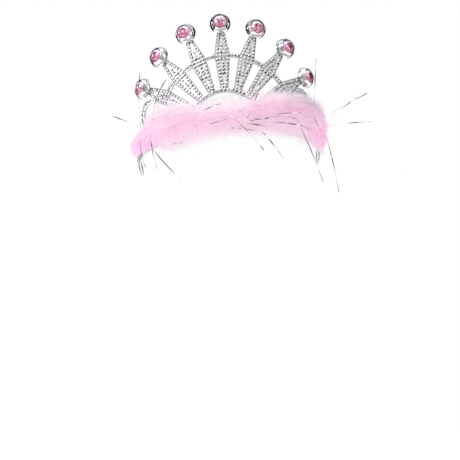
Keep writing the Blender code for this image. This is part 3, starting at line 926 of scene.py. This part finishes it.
def make_cast_stones():
    """Low cut points: a girdle, a shoulder and a small table, each with its own facets."""
    chance = np.random.default_rng(CAST_SEED)
    heap = Heap()
    sides = CAST_SIDES
    facets = sides * (len(CAST_LEVELS) - 1) + 2
    for s, z, floor in cast_places():
        spin = chance.uniform(0, math.pi)
        size = chance.uniform(*CAST_SIZES)
        slant = chance.uniform(-CAST_SLANT, CAST_SLANT, 2)
        rings = []
        for radius, height, offset in CAST_LEVELS:
            turns = spin + 2 * math.pi * (np.arange(sides) + offset) / sides
            a = CAST_RADIUS * size * radius * np.cos(turns)
            b = CAST_RADIUS * size * radius * np.sin(turns)
            out = floor + CAST_HEIGHT * height + slant[0] * a + slant[1] * b
            rings.append(np.stack((s + a, out, z + b), axis=1))
        tones = chance.uniform(*BRIGHT_TONES, facets)
        tones[chance.uniform(size=facets) < GREY_FACETS] *= GREY_TONE
        facing = spin + 2 * math.pi * (np.arange(sides) + 0.25) / sides
        # Painted shade: facets facing down to the right are darkened, less so on the lit left side
        shaded = np.cos(facing - chance.normal(SHADE_TURN, SHADE_TURN_SPREAD)) > SHADE_REACH
        lit = np.interp(-s, (LIT_SIDE_START, LIT_SIDE_FULL), (0.0, LIT_SIDE_TONE))
        tones[sides : 2 * sides][shaded] *= chance.uniform(*SHADED_TONES) + lit
        tones[2 * sides : 3 * sides][shaded] *= chance.choice(SHADED_SHOULDERS)
        heap.add(to_row(rings), skin(len(CAST_LEVELS), sides), tone=tones)
    mesh = heap.mesh("cast_stones", "FACE")
    turn_faces_out(mesh)
    show("cast_stones", mesh, cast_silver())


# Cups and cut stones


def cup_profile():
    """Radius, height pairs of a half ball: flat back, flank, lip, bore and a conical floor."""
    bore = STONE_RADIUS + SEAT_GAP
    floor = GIRDLE_HEIGHT - STONE_GIRDLE - STONE_PAVILION - 2 * SEAT_GAP
    wall_foot = GIRDLE_HEIGHT - STONE_GIRDLE - SEAT_GAP
    mouth_turn = math.acos((bore + CUP_LIP) / CUP_RADIUS)
    flank = []
    for turn in np.linspace(0.0, mouth_turn, CUP_FLANK_STEPS):
        height = CUP_DEPTH * math.sin(turn) / math.sin(mouth_turn)
        flank.append((CUP_RADIUS * math.cos(turn), height))
    lip = arc(bore + CUP_LIP / 2, CUP_DEPTH, CUP_LIP / 2, CUP_LIP / 2, 30, 180, CUP_LIP_STEPS)
    return [(0.0, 0.0), *flank, *lip, (bore, wall_foot), (0.0, floor)]


def seat_matrix(angle):
    """The cup's seat: its back just clear of the pad, its axis square to the wall."""
    s, z = ray_point(CUP_PLACE_RADIUS, angle)
    back = WALL / 2 + SEAT_GAP
    origin, out_end, up_end = to_row(((s, back, z), (s, back + 1, z), (s, back, z + 1)))
    outward = Vector(out_end - origin).normalized()
    up = Vector(up_end - origin).normalized()
    basis = Matrix((up.cross(outward), up, outward)).transposed().to_4x4()
    return Matrix.Translation(origin) @ basis


def turned_mesh(name, profile, sides, seat):
    """A profile of radius, height pairs turned round the seat's axis."""
    turns = np.linspace(0, 2 * math.pi, sides, endpoint=False)
    rings = []
    for radius, height in profile[1:-1]:
        across = radius * np.cos(turns)
        rings.append(np.stack((across, radius * np.sin(turns), np.full(sides, height)), axis=1))
    points = np.concatenate(([(0, 0, profile[0][1])], *rings, [(0, 0, profile[-1][1])]))
    low = np.arange(sides)
    ahead = np.roll(low, -1)
    faces = [np.stack((np.zeros(sides, int), low + 1, ahead + 1), axis=1)]
    for level in range(len(rings) - 1):
        base = 1 + level * sides
        faces.append(np.stack((low + base, ahead + base, ahead + base + sides, low + base + sides), axis=1))
    base = 1 + (len(rings) - 1) * sides
    faces.append(np.stack((low + base, ahead + base, np.full(sides, len(points) - 1)), axis=1))
    heap = Heap()
    heap.add(points, faces)
    mesh = heap.mesh(name)
    mesh.transform(seat)
    turn_faces_out(mesh)
    return mesh


def stone_facets():
    """Points and facets of a round brilliant."""
    half = STONE_HALF_SIDES
    sides = 2 * half

    def ring(count, radius, height, offset):
        turns = 2 * math.pi * (np.arange(count) + offset) / count
        return [(radius * math.cos(t), radius * math.sin(t), height) for t in turns]

    table = ring(half, TABLE_SHARE * STONE_RADIUS, STONE_CROWN, 0.0)
    shoulder = ring(half, SHOULDER_SHARE * STONE_RADIUS, SHOULDER_RISE_SHARE * STONE_CROWN, 0.5)
    girdle = ring(sides, STONE_RADIUS, 0.0, 0.0)
    foot = ring(sides, STONE_RADIUS, -STONE_GIRDLE, 0.0)
    ends = [(0, 0, -STONE_GIRDLE - STONE_PAVILION), (0, 0, STONE_CROWN)]
    points = [*table, *shoulder, *girdle, *foot, *ends]
    facets = []
    for i in range(half):
        j = (i + 1) % half
        a, b = half + i, half + (i - 1) % half
        g = 2 * half + 2 * i
        g_next = 2 * half + (2 * i + 2) % sides
        facets += [(i, j, len(points) - 1), (i, a, j), (i, b, g), (i, g, a)]
        facets += [(a, g, g + 1), (a, g + 1, g_next)]
    for i in range(sides):
        g, k = 2 * half + i, 2 * half + (i + 1) % sides
        facets += [(g, g + sides, k + sides), (g, k + sides, k), (g + sides, len(points) - 2, k + sides)]
    return points, facets


def facet_tones(points, facets, spin, chance):
    """Wine in the table, white and lilac above it as a painted highlight, crimson pink below and a dark
    girdle.
    """
    tones = []
    for facet in facets:
        x, y, z = np.mean([points[corner] for corner in facet], axis=0)
        away = math.hypot(x, y) / STONE_RADIUS
        above = math.sin(math.atan2(y, x) + spin)
        if z < 0:
            tone = UNDER_TONE
        elif away < TABLE_REACH:
            tone = chance.choice(TABLE_TONES, p=TABLE_CHANCES)
        else:
            # Painted highlight: crown facets are lighter towards the stone's top
            tone = CROWN_TONE + CROWN_TONE_RISE * above - CROWN_TONE_FALL * away
        tones.append(tone + chance.uniform(-STONE_TONE_SPREAD, STONE_TONE_SPREAD))
    return np.clip(tones, 0.0, 1.0)


def make_cups_and_stones():
    silver = polished_cup()
    pink = cut_pink()
    points, facets = stone_facets()
    chance = np.random.default_rng(STONE_SEED)
    for number, angle in enumerate(spike_angles(), start=1):
        seat = seat_matrix(angle)
        mesh = turned_mesh(f"cup_{number}", cup_profile(), CUP_SIDES, seat)
        cup = show(f"cup_{number}", mesh, silver, smooth_degrees=40)
        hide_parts(f"setting_{number}")
        heap = Heap()
        spin = chance.uniform(0.0, 1.0)
        heap.add(points, [np.array(facets)], tone=facet_tones(points, facets, spin, chance))
        mesh = heap.mesh(f"cut_stone_{number}", "FACE")
        mesh.transform(seat @ Matrix.Translation((0, 0, GIRDLE_HEIGHT)) @ Matrix.Rotation(spin, 4, "Z"))
        turn_faces_out(mesh)
        stone = show(f"cut_stone_{number}", mesh, pink)
        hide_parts(f"stone_{number}")


# Down


def trim_sizes(along):
    """Centre height, half height and depth of the trim at shares of its reach."""
    rows = TRIM_SECTIONS
    low = np.clip(np.searchsorted(rows[:, 0], along) - 1, 0, len(rows) - 2)
    share = (along - rows[low, 0]) / (rows[low + 1, 0] - rows[low, 0])
    share = share * share * (3 - 2 * share)
    centre, half, depth = (rows[low, k] + (rows[low + 1, k] - rows[low, k]) * share for k in (1, 2, 3))
    return centre * TRIM_HEIGHT, half * TRIM_HEIGHT, depth * TRIM_DEPTH


def trim_run(along):
    return along * np.where(along < 0, TRIM_LEFT_REACH, TRIM_RIGHT_REACH)


def trim_skin(along, rise, share=1.0):
    """Flat pattern points between the trim's axis, share 0, and its skin, share 1."""
    centre, half, depth = trim_sizes(along)
    turn = rise * math.pi / 2
    core = CORD_DEPTH_SHARE * depth
    n = TRIM_BACK + core + (depth * np.cos(turn) - core) * share
    return np.stack((trim_run(along), n, centre + half * np.sin(turn) * share), axis=-1)


def hump(values, centre, width):
    return np.exp(-(((values - centre) / width) ** 2))


def blush_at(along, rise):
    """How deep the pink is: deepest near both ends and along the parting, pale above it."""
    left = 0.9 * hump(along, -0.76, 0.14)
    right = 1.1 * hump(along, 0.80, 0.16) * hump(rise, -0.2, 0.9)
    faded = 0.45 * hump(along, 0.0, 0.22) + 0.6 * hump(along, -1.0, 0.12)
    dip = 0.4 * hump(along, -0.55, 0.25)
    parting = hump(rise, -0.15 - dip, 0.45) * (1.0 - faded)
    patches = 0.22 * np.sin(along * 19.0 + 1.1) * np.cos(rise * 3.1 + along * 7.0)
    paler = 0.16 * np.minimum(rise, 0.2)
    return np.clip(0.04 + 0.60 * np.maximum(left, right) + 0.46 * parting - paler + patches, 0.0, 1.0)


def unit(vectors):
    return vectors / np.maximum(np.linalg.norm(vectors, axis=-1, keepdims=True), 1e-9)


def add_barbs(heap, chance, roots, tips, bow, blush):
    """Tapering barbs with fine twigs on both sides, from (N, 3) flat roots to tips."""
    count = len(roots)
    way = np.linspace(0.0, 1.0, BARB_STEPS)[None, :, None]
    flat = roots[:, None] + (tips - roots)[:, None] * way + bow[:, None] * 4 * way * (1 - way)
    line = to_row(flat)
    heading = unit(np.gradient(line, axis=1))
    aside = unit(np.cross(heading, chance.normal(size=(count, 1, 3))))
    width = BARB_WIDTH / 2 * (1 - BARB_TAPER * way)
    ribbon = np.concatenate((line - aside * width, line + aside * width), axis=1)
    steps = np.arange(BARB_STEPS - 1)
    quads = np.stack((steps, steps + 1, steps + 1 + BARB_STEPS, steps + BARB_STEPS), axis=1)
    base = np.arange(count)[:, None, None] * (2 * BARB_STEPS)
    rise = np.broadcast_to(np.tile(way[0, :, 0], 2), (count, 2 * BARB_STEPS))
    tint = np.repeat(blush, 2 * BARB_STEPS)
    heap.add(ribbon, [(quads + base).reshape(-1, 4)], rise=rise, blush=tint)

    place = np.sort(chance.uniform(TWIG_START, 1.0, (count, TWIGS)), axis=1) * (BARB_STEPS - 1)
    step = np.minimum(place.astype(int), BARB_STEPS - 2)
    part = (place - step)[..., None]
    rows = np.arange(count)[:, None]
    foot = line[rows, step] * (1 - part) + line[rows, step + 1] * part
    along = heading[rows, step]
    hand = np.where(np.arange(TWIGS) % 2 == 0, 1.0, -1.0)[None, :, None]
    fling = along * TWIG_FORWARD + aside[rows, step] * hand
    fling += chance.normal(scale=TWIG_SCATTER, size=foot.shape)
    share = place / (BARB_STEPS - 1)
    length = TWIG_LENGTH * (TWIG_FOOT_LENGTH - TWIG_LENGTH_LOSS * share)
    length *= chance.uniform(*TWIG_LENGTHS, share.shape)
    end = foot + unit(fling) * length[..., None]
    twigs = np.stack((foot - along * TWIG_WIDTH / 2, foot + along * TWIG_WIDTH / 2, end), axis=2)
    corners = np.arange(count * TWIGS * 3).reshape(-1, 3)
    rise = np.repeat(share[..., None], 3, axis=2)
    heap.add(twigs, [corners], rise=rise, blush=np.repeat(blush, TWIGS * 3))


def make_down_length(name, start, end, tufts, material, seed):
    """Tufts of barbs from the trim's cord out past its skin, combed along its parting."""
    chance = np.random.default_rng(seed)
    tuft = np.repeat(np.arange(tufts), TUFT_BARBS)
    barbs = len(tuft)
    tuft_along = chance.uniform(start, end, tufts)[tuft]
    tuft_rise = chance.uniform(-1.02, 1.02, tufts)[tuft]
    tuft_reach = chance.normal(TUFT_REACH, TUFT_REACH_SPREAD, tufts)[tuft]
    tuft_lean = chance.normal(0.0, TUFT_LEAN, tufts)[tuft]
    across = chance.normal(0.0, TUFT_SPREAD, barbs)
    around = chance.normal(0.0, TUFT_TURN, barbs)
    along = np.clip(tuft_along + across, -BARB_END, BARB_END)
    rise = np.clip(tuft_rise + around, -1.05, 1.05)
    size = np.clip(trim_sizes(along)[1] / FULL_HALF, THIN_SIZE, 1.0)
    stray = chance.uniform(size=barbs) < STRAY_SHARE
    reach = tuft_reach * chance.uniform(*BARB_REACHES, barbs)
    reach += stray * chance.uniform(*STRAY_REACHES, barbs)
    root_along = np.clip(tuft_along + across * ROOT_SPREAD, -BARB_END, BARB_END)
    roots = trim_skin(root_along, rise * ROOT_RISE, chance.uniform(0.0, ROOT_DEPTH, barbs))
    tips = trim_skin(along, rise, reach)
    combed = hump(rise, PARTING_RISE, PARTING_WIDTH)
    comb = chance.choice((-1.0, 1.0), tufts)[tuft] * chance.uniform(*COMBED_LENGTHS, barbs)
    tips[:, 0] += (tuft_lean + chance.normal(0.0, BARB_SCATTER, barbs) + combed * comb) * size
    tips[:, 2] -= DROOP * size
    bow = chance.normal(0.0, BARB_BOW, (barbs, 3)) * size[:, None]
    heap = Heap()
    blush = np.clip(blush_at(along, rise) + chance.normal(0.0, TUFT_TINT, tufts)[tuft], 0.0, 1.0)
    add_barbs(heap, chance, roots, tips, bow, blush)
    return show(name, heap.mesh(name), material)


def make_fine_down(name, blush, roots, tips, material, seed):
    """Pale single barbs, apart from the tufts."""
    chance = np.random.default_rng(seed)
    heap = Heap()
    bow = chance.normal(0.0, FINE_BOW, roots.shape)
    add_barbs(heap, chance, roots, tips, bow, np.clip(blush, 0.0, 1.0))
    return show(name, heap.mesh(name), material)


def make_down_in_arch(material):
    """Barbs that stand up behind the half ring, in its opening."""
    chance = np.random.default_rng(ARCH_SEED)
    s = chance.uniform(-ARCH_STRETCH, ARCH_STRETCH, ARCH_BARBS) * ARCH_REACH
    top = np.sqrt(ARCH_REACH**2 - s**2) * chance.uniform(*ARCH_TIPS, ARCH_BARBS)
    foot = APRON_MIDDLE_HEIGHT * chance.uniform(*ARCH_ROOTS, ARCH_BARBS)
    near, far = (-WALL / 2 - chance.uniform(*ARCH_BEHIND, ARCH_BARBS) for end in range(2))
    roots = np.stack((s, near, foot), axis=1)
    tips = np.stack((s * ARCH_SPLAY, far, np.maximum(top, foot + ARCH_SHORTEST)), axis=1)
    return make_fine_down("down_in_arch", np.zeros(ARCH_BARBS), roots, tips, material, ARCH_SEED)


def make_down_fringe(material):
    """Pale barbs that hang from the down's lower edge and hide the band."""
    chance = np.random.default_rng(FRINGE_SEED)
    along = chance.uniform(*FRINGE_STRETCH, FRINGE_BARBS)
    size = np.clip(trim_sizes(along)[1] / FULL_HALF, THIN_SIZE, 1.0)
    size *= np.clip((along + 0.62) * 3.0, 0.2, 1.0)
    root_rise = chance.uniform(FRINGE_RISE, FRINGE_ROOT_RISE, FRINGE_BARBS)
    roots = trim_skin(along, root_rise, chance.uniform(*FRINGE_ROOTS, FRINGE_BARBS))
    tip_rise = np.full(FRINGE_BARBS, FRINGE_RISE)
    tips = trim_skin(along, tip_rise, chance.uniform(*FRINGE_TIPS, FRINGE_BARBS))
    tips += chance.normal(0.0, FRINGE_SCATTER, tips.shape) * size[:, None]
    tips[:, 2] -= chance.uniform(*FRINGE_HANG, FRINGE_BARBS) * size
    blush = chance.normal(0.12, 0.10, FRINGE_BARBS) + 0.4 * hump(along, 0.84, 0.16)
    return make_fine_down("down_fringe", blush, roots, tips, material, FRINGE_SEED)


def make_core(material):
    """The matted inside of the down, a little under its skin."""
    rises = np.linspace(-CORE_RISE, CORE_RISE, CORE_ROWS)
    back_rows = [-2, CORE_ROWS // 2, 1]
    rings = []
    blush = []
    for along in np.linspace(-CORE_END, CORE_END, CORE_STATIONS):
        front = trim_skin(np.full(CORE_ROWS, along), rises, CORE_SHARE)
        back = front[back_rows].copy()
        back[:, 1] = TRIM_BACK
        rings.append(np.concatenate((front, back)))
        blush.append(blush_at(along, np.concatenate((rises, rises[back_rows]))))
    heap = Heap()
    heap.add(to_row(rings), skin(CORE_STATIONS, CORE_ROWS + len(back_rows)), blush=blush)
    mesh = heap.mesh("down_core")
    turn_faces_out(mesh)
    core = show("down_core", mesh, material, smooth_degrees=60)
    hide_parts("marabou_trim")


def make_down():
    make_core(down_core())
    material = marabou_down()
    for seed, (name, start, end, tufts) in enumerate(DOWN_LENGTHS, start=DOWN_SEED):
        make_down_length(name, start, end, tufts, material, seed)
    make_down_in_arch(material)
    make_down_fringe(material)


# Tinsel


def film(heap, line, width, twist, taper, chance):
    """A flat film strand along (K, 3) row points, closed all round and slowly twisting."""
    count = len(line)
    heading = unit(np.gradient(line, axis=0))
    start = chance.uniform(0, math.pi)
    aside = unit(np.cross(heading, FILM_SIDE))
    over = np.cross(heading, aside)
    turn = (start + twist * np.linspace(0, 1, count))[:, None]
    flat = aside * np.cos(turn) + over * np.sin(turn)
    face = np.cross(heading, flat)
    w, t = width / 2 * taper[:, None], FILM_THICKNESS / 2
    rings = np.stack((line + flat * w, line + face * t, line - flat * w, line - face * t), axis=1)
    heap.add(rings, skin(count, 4))


def thread_place(along):
    """Flat pattern place of the thread, on the parting in the trim's front."""
    centre, half, depth = trim_sizes(along)
    return np.stack((trim_run(along), TRIM_BACK + depth + THREAD_CLEAR, centre), axis=-1)


def long_strand(row, way):
    """Row points of a strand that stands off from the thread."""
    root, along, out, up, bulge = row
    alongs = np.linspace(-THREAD_SHARE, THREAD_SHARE, THREAD_STATIONS + 1)
    place = alongs[np.argmin(np.abs(alongs - root))]
    foot = thread_place(place)
    steps = np.array(((0, 0, 0), (1, 0, 0), (0, 1, 0), (0, 0, 1))) * SIGHT_STEP
    start, ahead, outside, above = to_row(foot + steps)
    onward, outward, upward = unit(ahead - start), unit(outside - start), unit(above - start)
    reach = (onward * along + outward * out + upward * up) * TINSEL_REACH
    return start + reach * way + outward * 4 * bulge * TINSEL_REACH * way * (1 - way)


def lying_strand(row, way):
    """Row points of a strand that lies on the down."""
    from_share, from_rise, to_share, to_rise, proud = row
    along = from_share + (to_share - from_share) * way
    rise = from_rise + (to_rise - from_rise) * way
    line = trim_skin(along, np.clip(rise, -1, 1))
    line[:, 1] += proud
    return to_row(line)


def make_tinsel():
    chance = np.random.default_rng(TINSEL_SEED)
    heap = Heap()
    way = np.linspace(-THREAD_SHARE, THREAD_SHARE, THREAD_STEPS)
    film(heap, to_row(thread_place(way)), THREAD_FILM_WIDTH, THREAD_TWIST, np.ones(len(way)), chance)
    way = np.linspace(0.0, 1.0, STRAND_STEPS)
    for row in LONG_STRANDS:
        line = long_strand(row, way[:, None])
        film(heap, line, FILM_WIDTH, LONG_TWIST, np.interp(way, *LONG_TAPER), chance)
    for row in LYING_STRANDS:
        line = lying_strand(row, way)
        film(heap, line, FILM_WIDTH, LYING_TWIST, np.interp(way, *LYING_TAPER), chance)
    mesh = heap.mesh("tinsel_strands")
    turn_faces_out(mesh)
    strands = show("tinsel_strands", mesh, tinsel_film(), smooth_degrees=50)
    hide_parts("tinsel")


# Floor, light and camera


def make_floor():
    """White paper floor, lit up a little by itself so that no horizon shows."""
    mesh = bpy.data.meshes.new("floor")
    corners = ((-1, -1), (1, -1), (1, 1), (-1, 1))
    points = [(x * FLOOR_REACH, y * FLOOR_REACH, FLOOR_HEIGHT) for x, y in corners]
    mesh.from_pydata(points, [], [(0, 1, 2, 3)])
    material, finish = new_finish("floor_paper")
    grain = finish.noise(30.0)
    dress(
        finish,
        Base_Color=finish.ramp(grain, ((0.3, (0.93, 0.93, 0.93)), (0.7, (0.95, 0.95, 0.95)))),
        Roughness=0.9,
        Emission_Color=(1.0, 1.0, 1.0),
        Emission_Strength=0.35,
    )
    mesh.materials.append(material)
    new_object("floor", mesh)


def make_room():
    """Pale studio: white where it is looked at, with dark side walls for the silver."""
    bpy.context.scene.view_settings.view_transform = "Standard"
    world = bpy.data.worlds.new("studio")
    bpy.context.scene.world = world
    world.use_nodes = True
    room = Finish(world.node_tree)
    way = room.node("ShaderNodeTexCoord", output="Generated")
    y, z = (room.node("ShaderNodeSeparateXYZ", sockets={0: way}, output=place) for place in (1, 2))
    sides = past(y, -0.35, 8.0) * short_of(y, 0.92, 14.0) * short_of(z, 0.62, 7.0)
    front = short_of(y, -0.55, 5.0) * short_of(z, 0.55, 6.0)
    behind = past(y, 0.86, 14.0) * short_of(z, 0.72, 6.0)
    shade = 1.0 - sides * 0.97 - front * 0.45 - behind * 0.5
    seen = room.node("ShaderNodeLightPath", output="Is Camera Ray")
    strength = seen + (1.0 - seen) * shade.clamp() * ROOM_STRENGTH
    background = world.node_tree.nodes["Background"]
    room.plug(background.inputs["Color"], (1.0, 1.0, 1.0))
    room.plug(background.inputs["Strength"], strength)


def make_lights():
    for name, place, size, power in SOFTBOXES:
        light = bpy.data.lights.new(name, "AREA")
        light.shape = "RECTANGLE"
        light.size, light.size_y = size
        light.energy = power
        lamp = new_object(name, light)
        lamp.location = place
        lamp.rotation_euler = (LIGHT_TARGET - lamp.location).to_track_quat("-Z", "Y").to_euler()


def make_camera():
    """Level camera, rolled, whose picture is PICTURE_PIXELS wide."""
    data = bpy.data.cameras.new("camera")
    data.sensor_width = SENSOR_MM
    data.lens = SIGHT_DISTANCE / METRES_PER_PIXEL / PICTURE_PIXELS * SENSOR_MM
    right = Vector((math.cos(CAMERA_ROLL), 0.0, math.sin(CAMERA_ROLL)))
    up = Vector((-math.sin(CAMERA_ROLL), 0.0, math.cos(CAMERA_ROLL)))
    back = Vector((0.0, -1.0, 0.0))
    fan_centre = Vector(to_row((0.0, 0.0, -FAN_DROP)))
    place = fan_centre + right * CAMERA_ASIDE + back * CAMERA_DISTANCE - up * CAMERA_BELOW
    camera = new_object("camera", data)
    camera.matrix_world = Matrix.Translation(place) @ Matrix((right, up, back)).transposed().to_4x4()
    bpy.context.scene.camera = camera


make_crown()
make_cast_stones()
make_cups_and_stones()
make_down()
make_tinsel()
make_floor()
make_room()
make_lights()
make_camera()
